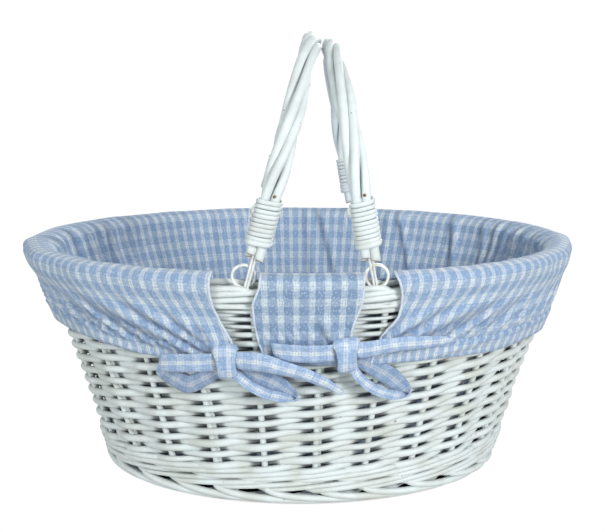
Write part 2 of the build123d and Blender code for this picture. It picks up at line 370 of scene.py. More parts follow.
def cut_wood(name):
    """Bare cut end of a willow rod."""
    n = Nodes(name)
    rings = n.noise(n.place(), 700, 3)
    color = n.mix(rings, linear(214, 190, 152), linear(176, 144, 104))
    return n.finish(color, 0.7, n.bump(rings, 0.0003, 0.5))


def worn_metal(name, scale, band, clean, dirty, rough, **fixed):
    """Wire or brass with patches of dirt. band and rough are each a low and a high value."""
    n = Nodes(name)
    dirt = n.ramp(n.noise(n.place(), scale, 3), *band)
    color = n.mix(dirt, linear(*clean), linear(*dirty))
    return n.finish(color, n.ramp(dirt, 0, 1, *rough), n.bump(dirt, 0.0001, 0.4), **fixed)


# White, single blue along the weft, single blue along the warp, and blue on blue.
CUFF_SHADES = ((222, 229, 232), (192, 206, 223), (170, 190, 215), (143, 169, 203))
# The front flap's colours are the same gingham painted darker: painted shade, as the flap hangs in
# shadow under the rim.
FLAP_PAINTED_SHADE_COLOURS = ((220, 228, 230), (180, 196, 212), (158, 178, 202), (124, 149, 182))
BOW_SHADES = ((236, 241, 244), (206, 221, 240), (190, 210, 237), (160, 187, 224))
WARP_PITCH = 0.62 * MM
WEFT_PITCH = 0.7 * MM


def gingham(name, shades, across=9.2, along=12.8):
    """Woven gingham. The cloth UV is in metres: U counts warp stripes, V counts weft stripes."""
    n = Nodes(name)
    uv = n.cloth_uv()
    wander = n.noise(uv, 260, 2)
    parts = n.new("ShaderNodeSeparateXYZ")
    n.put(uv, parts.inputs[0])
    offset = n.math("MULTIPLY", n.math("SUBTRACT", wander, 0.5), 0.0009)
    u = n.math("ADD", parts.outputs[0], offset)
    v = n.math("ADD", parts.outputs[1], offset)

    def stripe(value, period, blue_share):
        wave = n.math("PINGPONG", n.math("DIVIDE", value, period * MM / 2), 1.0)
        return n.ramp(wave, blue_share - 0.07, blue_share + 0.07, 1.0, 0.0)

    warp = stripe(u, across, 0.6)
    weft = stripe(v, along, 0.52)
    white, pale, blue, deep = (linear(*c) for c in shades)
    base = n.mix(weft, n.mix(warp, white, blue), n.mix(warp, pale, deep))
    lines = n.math("PINGPONG", n.math("DIVIDE", u, 0.00092), 1.0)
    rungs = n.math("PINGPONG", n.math("DIVIDE", v, 0.0011), 1.0)
    hatch = n.math("MAXIMUM", n.ramp(lines, 0.62, 0.92), n.ramp(rungs, 0.66, 0.94))

    def patches(across, along, *limits):
        return n.ramp(n.noise(n.scaled(uv, (across, along, 1)), 1, 2), *limits)

    hatch = n.math("MULTIPLY", hatch, patches(420, 300, 0.4, 0.6, 0.2, 0.75))
    base = n.mix(hatch, base, linear(138, 162, 198))
    threads_u = n.math("SINE", n.math("MULTIPLY", u, 2 * math.pi / WARP_PITCH))
    threads_v = n.math("SINE", n.math("MULTIPLY", v, 2 * math.pi / WEFT_PITCH))
    slubs = n.math("MAXIMUM", patches(1500, 260, 0.52, 0.68), patches(260, 1500, 0.54, 0.7))
    color = n.mix(n.math("MULTIPLY", slubs, 0.4), base, linear(126, 150, 186))
    color = n.mix(patches(700, 500, 0.5, 0.7, 0.0, 0.5), color, linear(216, 226, 234))
    # Painted shade in the valleys of the cloth's folds and inside the bow loops, from the per-point
    # shade attribute.
    color = n.mix(n.attribute("hollow"), color, linear(78, 98, 132))
    weave = n.math("ADD", threads_u, threads_v)
    pucker = n.noise(n.scaled(uv, (190, 190, 1)), 1, 3)
    normal = n.bump(pucker, 0.0016, 0.55, n.bump(weave, 0.00012, 0.5))
    return n.finish(color, 0.9, normal, Sheen_Weight=0.25, Sheen_Roughness=0.5,
                    Specular_IOR_Level=0.2)


def plain_cloth(name, color):
    """White bound edge of the liner."""
    n = Nodes(name)
    slub = n.noise(n.place(), 1400, 2)
    tint = n.mix(n.ramp(slub, 0.4, 0.7), linear(*color), linear(176, 192, 216))
    return n.finish(tint, 0.9, n.bump(slub, 0.0003, 0.6), Sheen_Weight=0.2)


WILLOW = willow_paint("white_willow")
CAD_WILLOW = willow_paint("white_willow_plain", grain=False)
HANDLE_WILLOW = willow_paint("white_handle_willow", white=(230, 238, 240), shade=(216, 222, 220))
CANE = willow_paint("white_split_cane", white=(226, 234, 236), shade=(208, 213, 209))
CUT_END = cut_wood("bare_willow_end")
WIRE = worn_metal("white_coated_wire", 180, (0.45, 0.75), (236, 238, 236), (205, 205, 198),
                  (0.25, 0.4))
BRASS = worn_metal("dull_nail", 400, (0.35, 0.7), (178, 142, 84), (110, 84, 52), (0.35, 0.6),
                   Metallic=0.85)
CLOTH = gingham("gingham", CUFF_SHADES)
# The front flap's cloth: the same gingham with painted shade.
FLAP_PAINTED_SHADE_CLOTH = gingham("gingham_flap_painted_shade", FLAP_PAINTED_SHADE_COLOURS, across=10.6, along=12.6)
BOW_CLOTH = gingham("gingham_ties", BOW_SHADES, across=9.2, along=12.6)
EDGE = plain_cloth("bound_edge", (222, 228, 236))

for name, node in nodes.items():
    wire, brass = "ring" in name or "link" in name, "nails" in name
    node.data.materials.clear()
    node.data.materials.append(WIRE if wire else BRASS if brass else CAD_WILLOW)
    if wire or brass or "stakes" in name:
        node.data.polygons.foreach_set("use_smooth", [True] * len(node.data.polygons))


# ---- side weave
STAKE_INSET = 5.5 * MM
WEAVE_START = 26.2 * MM
WEAVE_END = 162.5 * MM


def rise_at(z):
    """Height that a rod gains from one stake to the next: the rods thin out towards the rim."""
    return (4.93 - 2.4 * smooth(z, 0.105, 0.165)) * MM


def side_weave():
    """French randing: each rod passes in front of one stake and behind the next, and climbs."""
    build = Build()
    levels = [WEAVE_START]
    while levels[-1] < WEAVE_END:
        levels.append(levels[-1] + rise_at(levels[-1]))
    levels = np.array(levels)
    crossings = len(levels)
    per_stake = 12
    u = np.arange(0, (crossings - 1) * per_stake + 1) / per_stake
    stops = np.arange(crossings)
    height = np.interp(u, stops, levels)
    for start in range(STAKES):
        wobble = rng.normal(0, 0.22, crossings)
        bulge = rng.normal(0, 0.25, crossings)
        thick = 1 + rng.normal(0, 0.06)
        z = height + np.interp(u, stops, wobble) * MM
        sway = -np.cos(math.pi * u)
        sway = np.sign(sway) * np.abs(sway) ** 1.35
        angle = stake_angle(u + start)
        inset = STAKE_INSET - (sway * 3.9 + np.interp(u, stops, bulge)) * MM
        waist = np.sin(math.pi * np.clip(z / 0.15, 0, 1)) ** 2  # the ends draw in at mid height
        inset += 2.2 * MM * np.cos(angle) ** 2 * waist
        radius = 0.585 * rise_at(height) * thick * (1 + 0.05 * np.sin(u * 1.7 + start))
        # Painted shade where each rod passes behind a stake, and along the edges where rods touch.
        behind = 0.82 * smooth(-sway, 0.36, 0.72)
        build.tube(wall(angle, z, inset), radius, sides=10, deep=0.8, hollow=behind, painted_edge_shade=0.27)
    build.object("side_weavers", "basket", [WILLOW], ("side_weave",))


def wale(name, rows, pitch, low, radius, lift, stands_for):
    """Three-rod wale: each rod passes in front of two stakes and behind the third."""
    build = Build()
    per_stake = 8
    u = np.arange(0, STAKES * per_stake) / per_stake
    for row in range(rows):
        for strand in range(3):
            w = (u + strand + row * 1.4) % 3
            behind = bell((w - 2.5 + 1.5) % 3 - 1.5, 0.42)
            inset = STAKE_INSET - (1 - 2.0 * behind) * 4.1 * MM
            climb = np.interp(w, [0, 2, 3], [-1, 1, -1]) * lift
            z = low + row * pitch + climb + rng.normal(0, 0.15) * MM
            thick = 1 + rng.normal(0, 0.06)
            # Painted shade where each strand passes behind a stake, and along the edges where strands
            # touch.
            build.tube(wall(stake_angle(u), z, inset), radius * thick, closed=True,
                       hollow=0.6 * smooth(behind, 0.3, 0.9), painted_edge_shade=0.22)
    build.object(name, "basket", [WILLOW], stands_for)


def turned_rods(name, control, radius, stands_for):
    """One rod from each stake, bent over and run along its neighbours.

    control holds (stakes along, height, inset) in millimetres."""
    build = Build()
    curve = spline(control, 7)
    for start in range(STAKES):
        shift = rng.normal(0, 0.04)
        lift = rng.normal(0, 0.2) * MM
        along, z, inset = curve[:, 0] + start + shift, curve[:, 1] * MM, curve[:, 2] * MM
        thick = radius * (1 + rng.normal(0, 0.05))
        build.tube(wall(stake_angle(along), z + lift, inset), thick, sides=8)
    build.object(name, "basket", [WILLOW], stands_for)


FOOT_RODS = [(-0.05, 22, 6.5), (0.0, 16, 4.4), (0.1, 12.4, 2.6), (0.35, 9.6, 1.3), (0.8, 7.2, 1.3),
             (1.5, 4.9, 3.0), (2.2, 3.2, 7.0), (2.8, 4.2, 13.5), (3.2, 7.0, 18.0)]
OUTER_RIM = [(-0.15, 160, 7.0), (0.0, 164, 3.6), (0.2, 167.2, 1.9), (0.5, 168.7, 2.2),
             (1.0, 170.7, 2.3), (1.5, 173.2, 2.3), (2.0, 175.4, 2.4), (2.5, 177.8, 2.6),
             (2.85, 178.0, 3.0), (3.05, 174.0, 5.2), (3.15, 169.0, 6.5)]
INNER_RIM = [(0.0, 165, 10.5), (0.25, 169.4, 12.8), (0.6, 171.7, 13.7), (1.5, 176.2, 13.7),
             (2.5, 180.8, 13.8), (2.85, 180.3, 13.9), (3.05, 176.0, 13.2), (3.15, 170.0, 11.5)]


def side_stakes():
    """The thin second rod pushed in beside every other stake."""
    build = Build()
    z = np.linspace(18, 160, 12) * MM
    for k in range(0, STAKES, 2):
        angle = stake_angle(k + 0.072)
        build.tube(wall(angle, z, 7.2 * MM), 1.5 * MM, side=(0, 1, 0))
    build.object("second_stakes", "basket", [WILLOW], ("bye_stakes",))


side_stakes()
side_weave()
wale("foot_wale", 2, 8.3 * MM, 17.2 * MM, 2.15 * MM, 4.0 * MM, ("upsett_wale",))
wale("rim_wale", 1, 2.0 * MM, 164.6 * MM, 1.6 * MM, 1.0 * MM, ("top_wale",))
turned_rods("foot_rods", FOOT_RODS, 2.75 * MM, ("foot_border",))
for name, way, control, radius in (("rim_rods_outside", "outer", OUTER_RIM, 2.25 * MM),
                                   ("rim_rods_inside", "inner", INNER_RIM, 2.2 * MM)):
    levels = [f"border_rod_{way}_{level}" for level in ("lower", "middle", "upper")]
    turned_rods(name, control, radius, levels)


def base_weave():
    """Pairs of thin rods woven round the base sticks, from the middle out."""
    build = Build()
    low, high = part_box("base_weave")
    radius = 1.5 * MM
    middle = (low[2] + high[2]) / 2
    rings = int((high[1] - 12 * MM) / (2.3 * radius))
    turn = np.linspace(0, 2 * math.pi, 220, endpoint=False)
    for ring in range(rings):
        b = 10 * MM + ring * 2.3 * radius
        a = b + (high[0] - high[1])
        for side in (-1, 1):
            z = middle + side * 1.9 * MM * np.cos(13 * turn + ring * math.pi)
            path = stacked(a * np.cos(turn), b * np.sin(turn), z)
            build.tube(path, radius, sides=6, closed=True)
    build.object("base_weavers", "basket", [WILLOW], ("base_weave",))


base_weave()


# ---- handles
HAUNCH = 80 * MM
LEG_TOP = 62 * MM
BIND_LENGTH = 36 * MM
BIND_TURNS = 11
BUNDLE = 4.75 * MM  # middle of the bundle to the middle of each rod
ROD = 3.35 * MM
ROD_OVERHANG = 8.5 * MM  # rod ends below the binding
HANDLES = {
    "left": {"lean": 15.4, "reach": 0.1700, "shift": 3.8 * MM, "low": 22.5 * MM, "turns": 1.75},
    "right": {"lean": -9.6, "reach": 0.1612, "shift": -2.3 * MM, "low": 20.0 * MM, "turns": 1.5},
}


def bail_line(span, reach, low):
    """Centre line of a bail in its own plane, from the front end to the back, evenly divided.

    Legs, haunch arcs and a crown arc are tangent, so the crown radius follows."""
    side = span - HAUNCH
    rise = reach - HAUNCH - LEG_TOP
    drop = (side**2 - rise**2) / (2 * rise)
    tilt = math.atan2(side, drop)
    crown = reach - LEG_TOP + drop
    leg = stacked(-span, np.linspace(low, LEG_TOP, 30, endpoint=False))
    turn = np.linspace(math.pi / 2, tilt, 60, endpoint=False)
    haunch = stacked(-side - HAUNCH * np.sin(turn), LEG_TOP + HAUNCH * np.cos(turn))
    turn = np.linspace(tilt, 0, 40, endpoint=False)
    top = stacked(-crown * np.sin(turn), LEG_TOP - drop + crown * np.cos(turn))
    half = np.vstack([leg, haunch, top])
    line = np.vstack([half, [[0, reach]], half[::-1] * (-1, 1)])
    run = run_along(line)
    even = np.linspace(0, run[-1], 170)
    return stacked(*(np.interp(even, run, line[:, k]) for k in (0, 1))), even


def handle_frame(side):
    joint = next(j for j in frame["joints"] if j["child"] == side + "_handle")
    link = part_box(side + "_front_link")
    y = (link[0][1] + link[1][1]) / 2
    x, _, z = joint["pos_m"]
    return x, y, z


def lean_over(points, side):
    """From the upright handle's frame to its place."""
    lean = math.radians(HANDLES[side]["lean"])
    x, _, z = handle_frame(side)
    p = np.asarray(points, float)
    out = p.copy()
    out[..., 0] = x + p[..., 0] * math.cos(lean) + p[..., 2] * math.sin(lean)
    out[..., 2] = z - p[..., 0] * math.sin(lean) + p[..., 2] * math.cos(lean)
    return out


def handle_rods(side):
    h = HANDLES[side]
    _, y, _ = handle_frame(side)
    line, run = bail_line(-y, h["reach"], h["low"] - ROD_OVERHANG)
    tangent = unit(np.gradient(line, axis=0))
    total = run[-1]
    bound = BIND_LENGTH + ROD_OVERHANG
    free = smooth(np.minimum(run, total - run), bound * 0.8, bound * 0.8 + 30 * MM)
    share = np.clip((run - bound) / (total - 2 * bound), 0, 1)
    twist = (share + 0.035 * np.sin(share * 4 * math.pi)) * h["turns"] * 2 * math.pi
    loose = free * (0.55 - 0.62 * np.sin(math.pi * share) ** 2) * MM
    build = Build()
    for k in range(4):
        drift = 0.16 * np.sin(share * math.pi * 3 + k * 1.9) * free
        turn = math.pi * (0.25 + k / 2) - twist + drift
        out = BUNDLE + loose + 0.25 * MM * np.sin(share * 9 + 2 * k) * free
        within = np.sin(turn) * out
        points = stacked(h["shift"] + np.cos(turn) * out, line[:, 0] - tangent[:, 1] * within,
                         line[:, 1] + tangent[:, 0] * within)
        trim = k % 2  # every other rod is cut a little shorter
        radius = ROD * (1 + rng.normal(0, 0.03)) * (1 + 0.03 * np.sin(run[trim:] * 60 + k))
        cut = ((0.15 * (k - 1.5), -0.3, 0), (0.15 * (k - 1.5), 0.3, 0))
        build.tube(lean_over(points[trim:], side), radius, side=(1, 0.2, 0.3), sides=14,
                   caps=(1, 1), cut=cut)
    names = [f"{side}_handle_rod_{k}" for k in range(1, 5)]
    build.object(f"{side}_twisted_rods", side + "_handle", [HANDLE_WILLOW, CUT_END],
                 names)


def binding(side, end):
    """Flat split cane wound round the four rods."""
    h = HANDLES[side]
    _, y, _ = handle_frame(side)
    y = y if end == "front" else -y
    pitch = BIND_LENGTH / BIND_TURNS
    build = Build()
    turns = np.linspace(0, BIND_TURNS - 1, (BIND_TURNS - 1) * 40 + 1)
    angle = turns * 2 * math.pi + 0.8
    square = np.abs(np.cos(2 * angle)) ** 1.5
    reach = (9.35 - 0.75 * square) * MM
    jitter = np.interp(turns, np.arange(BIND_TURNS), rng.normal(0, 0.18, BIND_TURNS)) * MM
    rise = h["low"] + pitch / 2 + turns * pitch + jitter
    tilt = 0.06 * np.cos(angle + 1.0) * pitch
    centre = stacked(h["shift"] + reach * np.cos(angle), y + reach * np.sin(angle), rise + tilt)
    lowest = 1 - smooth(turns, 1.0, 2.0)  # the first turns are wider and thicker
    half_width = pitch * (0.5 + 0.03 * np.sin(turns * 2.1)) * (1 + 0.18 * lowest)
    thick = (0.85 + 0.35 * lowest) * MM
    section = [(-1.0, -0.4), (-0.86, 0.5), (-0.4, 0.92), (0.0, 1.0), (0.4, 0.92), (0.86, 0.5),
               (1.0, -0.4), (0.0, -0.7)]
    out = stacked(np.cos(angle), np.sin(angle), 0.0)
    up = np.array([0, 0, 1.0])
    rows = []
    for w, t in section:
        rows.append(centre + up * (w * half_width)[:, None] + out * (t * thick)[:, None])
    verts = lean_over(np.stack(rows, axis=1), side)
    n, sides = verts.shape[:2]
    uvs = stacked(angle[:, None] * 9 * MM, np.arange(sides)[None] * 0.002)
    build.add(verts, skin(n, sides), uvs)
    build.object(f"{side}_{end}_cane", side + "_handle", [CANE],
                 (f"{side}_{end}_binding",))


def nails(side):
    """A small round head at the top of each binding."""
    low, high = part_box(f"{side}_handle_nails")
    build = Build()
    for y, facing in ((low[1], -1), (high[1], 1)):
        centre = np.array([(low[0] + high[0]) / 2 - 1.5 * MM, y, (low[2] + high[2]) / 2])
        reach = np.array([1.9, 1.2, 0.75, 0.35, 0.1, 0.0])[:, None] * MM
        path = centre + reach * (0, -facing, 0)
        build.tube(path, np.array([0.5, 0.6, 1.15, 1.1, 0.7, 0.1]) * MM, sides=12)
    build.object(f"{side}_nail_heads", side + "_handle", [BRASS],
                 (f"{side}_handle_nails",))


def hinge_ring(side, end, turns):
    """Wire ring through the border. turns says how far the wire is wound round."""
    low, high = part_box(f"{side}_{end}_hinge_ring")
    middle = (np.array(low) + np.array(high)) / 2
    radius = (high[0] - low[0]) / 2 - 0.95 * MM
    turn = np.linspace(0, 2 * math.pi * turns, int(48 * turns) + 1) + 2.2
    slip = (np.linspace(-1, 1, len(turn)) * 1.15 * (turns - 1)) * MM
    path = stacked(middle[0] + radius * np.cos(turn) * (1 + 0.03 * np.sin(turn * 0.5)),
                   middle[1] + slip, middle[2] + radius * np.sin(turn))
    build = Build()
    build.tube(path, 1.1 * MM, side=(0, 1, 0), sides=10)
    build.object(f"{side}_{end}_wire_ring", "basket", [WIRE],
                 (f"{side}_{end}_hinge_ring",))


for side in HANDLES:
    for end in ("front", "back"):
        hinge_ring(side, end, 2.0 if side == "right" else 1.05)
    nails(side)
    handle_rods(side)
    for end in ("front", "back"):
        binding(side, end)


# ---- liner
RIM_INSET = 17.3 * MM
RIM_Z = 180.5 * MM
RIM_TOP = 8.7 * MM
INNER_HEM = 160 * MM
OUTSET = 2.2 * MM
CLOTH_THICK = 1.1 * MM
RIM_GIRTH = 1.1  # girth of the upper wall for each metre of girth at mid height


def ripple(x, y, z, scale):
    """Smooth repeatable wrinkle field, roughly between -1 and 1."""
    s = 1 / scale
    return (np.sin(x * s + 1.3 * np.sin(z * s * 0.9 + 0.7))
            + np.sin(y * s * 1.1 + 2.1 * np.sin(x * s * 0.7 + 0.2))
            + np.sin(z * s * 1.2 + 1.7 * np.sin(y * s * 0.8))) / 3


def liner_floor():
    """The cloth on the floor of the basket, turned up a little at its edge."""
    low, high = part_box("liner_floor")
    build = Build()
    ring = np.linspace(0.0005, 1, 26)[:, None]
    turn = np.linspace(0, 2 * math.pi, 120, endpoint=False)[None]
    a, b = high[0] + 0.5 * MM, high[1] + 0.5 * MM
    x, y = a * ring * np.cos(turn), b * ring * np.sin(turn)
    slack = 0.8 * MM * (1 - ring**4)
    turned_up = (1.0 + 1.5 * ring**12) * MM
    z = (low[2] + high[2]) / 2 + ripple(x, y, x * 0, 0.022) * slack + turned_up
    verts = stacked(x, y, z)
    build.grid(verts, verts[..., :2].copy(), wrap=True)
    ob = build.object("liner_floor_cloth", "basket", [CLOTH], ("liner_floor",))
    solidify(ob)


def solidify(ob):
    m = ob.modifiers.new("thickness", "SOLIDIFY")
    m.thickness = CLOTH_THICK
    m.offset = 0.0
    m.use_even_offset = False


def inside_folds(along, z):
    """Depth of the soft upright folds inside the basket, in metres, and the painted shade beside each
    fold.
    """
    folds = np.zeros(np.broadcast(along, z).shape)
    crease = np.zeros_like(folds)
    for place, width, depth, tilt in LINER_FOLDS:
        gap = round_gap(along - place * GIRTH + (z - 0.1) * tilt) / MM
        folds += depth * MM * bell(gap, width)
        # Painted shade in the valley beside each fold.
        crease += depth / 9 * bell(gap - 1.7 * width, 1.1 * width)
    strength = smooth(z, 0.02, 0.06)
    return folds * strength, crease * strength


def liner_wall():
    """The cloth inside the basket, slack enough to fold a little."""
    build = Build()
    v = np.linspace(15.4, 182.5, 70) * MM
    turn = np.linspace(0, 2 * math.pi, 520)
    angle, z = np.meshgrid(turn, v)
    along = length_at(angle - 1e-9)  # the last column stays on this side of the seam
    along[:, 0] = 0.0
    inset = (12.9 + 5.5 * smooth(z, 0.016, 0.05) - 1.6 * smooth(z, 0.140, 0.165)) * MM
    slack = smooth(z, 0.02, 0.06) * (1 - smooth(z, 0.168, 0.182))
    folds, crease = inside_folds(along, z)
    inset = inset + folds + slack * 0.7 * MM * (1 + ripple(along, z, z, 0.02))
    # The fold valleys get painted shade.
    build.grid(wall(angle, z, inset), stacked(along * RIM_GIRTH, z), hollow=crease)
    ob = build.object("liner_wall_cloth", "basket", [CLOTH], ("liner_wall",))
    solidify(ob)


# Soft folds of the inner wall: place round the girth, width mm, depth mm, tilt.
LINER_FOLDS = [(0.545, 3, 3.0, 0.4), (0.525, 4, 3.5, 0.3), (0.505, 3, 3.5, 0.1),
               (0.481, 2.8, 3.0, 0.0), (0.4705, 3, 5.5, 0.05), (0.457, 2.8, 3.6, 0.13),
               (0.447, 2.8, 3.4, 0.18), (0.434, 2.6, 4.2, 0.15), (0.419, 3.5, 2.4, 0.24),
               (0.60, 6, 2.2, 0.1), (0.33, 3.5, 1.6, 0.15), (0.37, 3, 1.4, -0.1),
               (0.985, 3, 5.0, 1.0), (0.044, 2.6, 3.0, 0.6), (0.0417, 2.6, 3.6, 0.4),
               (0.0443, 2.6, 3.2, 0.15), (0.05, 2.6, 3.2, 0.05), (0.061, 2.6, 3.2, 0.05),
               (0.065, 2.6, 2.8, -0.05), (0.0663, 2.6, 2.8, -0.2), (0.0925, 2.8, 3.8, -0.25),
               (0.13, 2.8, 3.2, -0.4), (0.173, 2.8, 2.2, 0.0),
               (0.207, 2.6, 3.4, -0.3), (0.235, 3, 1.8, -0.1), (0.93, 5, 2.2, 0.2),
               (0.85, 7, 1.8, 0.0), (0.68, 6, 2.0, 0.1), (0.40, 4, 1.2, 0.1)]


def cuff_profile(hem):
    """Inset and height from inside the rim, over it and down to the hem."""
    up = np.linspace(INNER_HEM, RIM_Z, 8, endpoint=False)
    inside = stacked(RIM_INSET - 3.0 * MM * (1 - smooth(up, INNER_HEM, 0.176)), up)
    turn = np.linspace(0, math.pi, 22, endpoint=False)
    middle, half = (RIM_INSET - OUTSET) / 2, (RIM_INSET + OUTSET) / 2
    over = stacked(middle + half * np.cos(turn), RIM_Z + RIM_TOP * np.sin(turn) ** 0.9)
    outside = stacked(-OUTSET, np.linspace(RIM_Z, hem, 56))
    return np.vstack([inside, over, outside])


def edge_curve(points):
    """X of a notch edge against height, from (height mm, X mm) points."""
    p = np.array(sorted(points))
    return lambda z: np.interp(z, p[:, 0] * MM, p[:, 1] * MM)


NOTCH = {
    "left_cuff": edge_curve([(190, -62.5), (184, -63.5), (174, -63), (164, -61.5), (152, -56.5),
                             (140, -50), (130, -46.5), (116, -45)]),
    "left_cuff_back": edge_curve([(190, -49.5), (174, -50.5), (164, -53), (152, -53), (140, -50),
                                  (130, -46.5), (116, -45)]),
    "flap_left": edge_curve([(190, -27.2), (180, -28.6), (168, -33), (152, -32), (138, -29),
                             (126, -25)]),
    "flap_right": edge_curve([(190, 44.5), (176, 44), (166, 42.5), (152, 37.5), (140, 35.5),
                              (126, 34)]),
    "right_cuff": edge_curve([(190, 66), (184, 69), (174, 71.5), (166, 71.5), (158, 69), (148, 62),
                              (140, 56), (130, 52), (116, 50)]),
}


def front_angle(x, z, inset):
    """Angle on the front half of the oval at which the wall has this X."""
    a, _ = half_axes(z, inset)
    return -np.arccos(np.clip(x / a, -1, 1))


def gathers(away, above_hem):
    """Small upright puckers where the cloth is drawn up on its tie."""
    wave = np.sin(away / (0.95 * MM) + 2.2 * np.sin(away / (9 * MM)) + above_hem / (1.9 * MM))
    near = smooth(away, 0.004, 0.02) * (1 - smooth(away, 0.16, 0.23))
    return 0.75 * wave * near * bell(above_hem - 0.018, 0.010)


def drag_folds(away, z, folds):
    """Ridges that start near the casing seam and climb away from the knot that pulls them, and
    painted shade in the valley beside each ridge.
    """
    out, crease = np.zeros_like(away), np.zeros_like(away)
    for start, low, climb, length, width, height in folds:
        cosine, sine = math.cos(math.radians(climb)), math.sin(math.radians(climb))
        dx, dz = away - start * MM, z - low * MM
        run = (dx * cosine + dz * sine) / MM
        off = (dz * cosine - dx * sine) / MM
        spread = width * (1 + np.clip(run, 0, length) / length)
        body = bell(off, spread) - 0.45 * bell(off + 2 * spread, spread)
        reach = smooth(run, -4, 9) * (1 - smooth(run, length * 0.55, length))
        out += height * body * reach
        # Painted shade in the valley beside the ridge.
        crease += height / 2.6 * reach * bell(off + 1.75 * spread, 0.75 * spread)
    return out, crease


# Each fold: start along the cuff from the knot, start height, climb in degrees, then its
# length, width and height.
CUFF_FOLDS = [
    (2, 130, 62, 34, 1.8, 1.8), (3, 129, 46, 52, 1.8, 2.4), (8, 129, 34, 80, 1.9, 2.8),
    (22, 129, 29, 84, 1.9, 2.6), (37, 131, 31, 80, 1.8, 2.3), (51, 132, 33, 74, 1.8, 2.5),
    (69, 133, 32, 72, 1.7, 2.1), (86, 135, 35, 62, 1.8, 1.9), (108, 136, 37, 56, 1.7, 1.7),
    (128, 138, 36, 50, 1.6, 1.5), (152, 138, 41, 44, 1.6, 1.4), (178, 140, 47, 38, 1.6, 1.2),
    (12, 126, 12, 60, 1.5, 1.0), (60, 124, 9, 60, 1.5, 0.9)]
FLAP_FOLDS = [(2, 132, 58, 38, 1.8, 1.5), (7, 130, 76, 34, 1.8, 1.2), (-4, 130, 98, 30, 1.8, 1.2)]


def rim_cloth(name, node, front, back, hem, folds, material, knots, flat_width, ends=()):
    """A cuff or flap: a sheet folded over the rim between two cut edges.

    front and back give the angle of each cut edge for arrays of height and inset. knots are
    rows of angle, way along the cloth and strength. ends is the middle of a cuff along the
    girth and half its length. Rows 0 to 7 are inside the basket, 8 to 29 pass over the rim
    and 30 to 85 hang outside."""
    build = Build()
    columns = max(44, int(flat_width / (2.0 * MM)))
    share = np.linspace(0, 1, columns)
    base = cuff_profile(hem(np.array([0.0]))[0])
    run = run_along(base)
    inset, z = base[:, :1], base[:, 1:]

    def over_rows(first, last):
        return smooth(run, run[first], run[last])[:, None]

    outside = over_rows(28, 36)
    low = front(z, inset)
    high = back(z, inset)
    angle = low + (high - low) * share[None]
    drop = np.clip((RIM_Z - z) / (RIM_Z - base[-1, 1]), 0, 1) * (base[:, 1:] < RIM_Z) * outside
    z = z + (hem(angle) - base[-1, 1]) * drop
    along = length_at(angle)
    lift, crease = np.zeros_like(angle), np.zeros_like(angle)
    for knot_at, way, scale in knots:
        gap = round_gap(along - length_at(np.array(knot_at)))
        ridge, dip = drag_folds(way * gap, z, folds)
        lift += ridge * scale * 1.45
        crease += dip * scale * 0.42
        lift += gathers(way * gap, z - hem(angle)) * scale
    soft = 1.2 * (1 + ripple(along, z * 1.3, z, 0.012)) + 0.5 * ripple(along, z, along, 0.005)
    casing = 1.0 if "cuff" in node else 0.0
    band = (1 - smooth(z - hem(angle), 0.0125, 0.0135)) * 1.1 * casing
    stitch = -0.9 * bell(z - hem(angle) - 0.0138, 0.0009) * casing
    puff = 1.2 + (3.0 - 2.0 * np.cos(angle)) * np.cos(angle) ** 2  # fuller at the two ends
    puff = puff * over_rows(8, 29)
    roll = puff * bell(np.minimum(z, 0.177) - 0.177, 0.0125)
    bumps = 1.7 * ripple(along, along * 0.3, z, 0.0085) + 0.8 * ripple(along, z, z, 0.0042)
    rim_pucker = bumps * over_rows(8, 14) * (1 - over_rows(30, 40))
    push = (outside * (lift + soft * 0.5 + band + stitch) + rim_pucker + roll) * MM
    within = 1 - over_rows(12, 22)
    inner, inner_crease = inside_folds(along, z)
    # Painted shade in the valleys of the drag folds outside and of the upright folds inside.
    shade = outside * crease + within * inner_crease
    verts = wall(angle, z, inset - push + inner * within)
    if ends:
        middle, reach = ends
        off = round_gap(along - middle)
        along = along - over_rows(30, 84) * 0.028 * np.sin(math.pi * np.clip(off / reach, -1, 1))
    build.grid(verts, stacked(along * RIM_GIRTH, run[:, None] + INNER_HEM), hollow=shade)
    ob = build.object(name, "basket", [material], (node,))
    solidify(ob)
    return ob, verts


def edge_binding(name, columns):
    """A narrow bound edge along the cut sides of a cuff or flap."""
    build = Build()
    for column in columns:
        build.tube(column[2:], 0.95 * MM, side=(0, -1, 0.2))
    build.object(name, "basket", [EDGE])


KNOTS = {"left": (-53 * MM, 127 * MM), "right": (33 * MM, 133 * MM)}


def knot_angle(side, end):
    x, z = KNOTS[side]
    angle = float(front_angle(np.array(x), np.array(z), -OUTSET))
    return angle if end == "front" else -angle


def cuff_hem(angle):
    """The drawn hem of a cuff hangs a little lower and higher along the girth."""
    left = np.degrees(np.abs((angle + math.pi) % (2 * math.pi) - math.pi))
    return np.interp(left, [0, 30, 45, 60, 72, 90, 108, 118, 128, 138, 150, 180],
                     [123, 121.5, 119.7, 121, 121, 124, 124.5, 122, 123.5, 127, 129.5, 131]) * MM


def flap_hem(angle):
    return np.full_like(np.asarray(angle, float), 126 * MM)


def cut_edge(key, sign, start=0.0):
    """Angle of a cut edge, on the front for a sign of 1 and on the back for -1."""
    return lambda z, inset: start + sign * front_angle(NOTCH[key](z), z, inset)


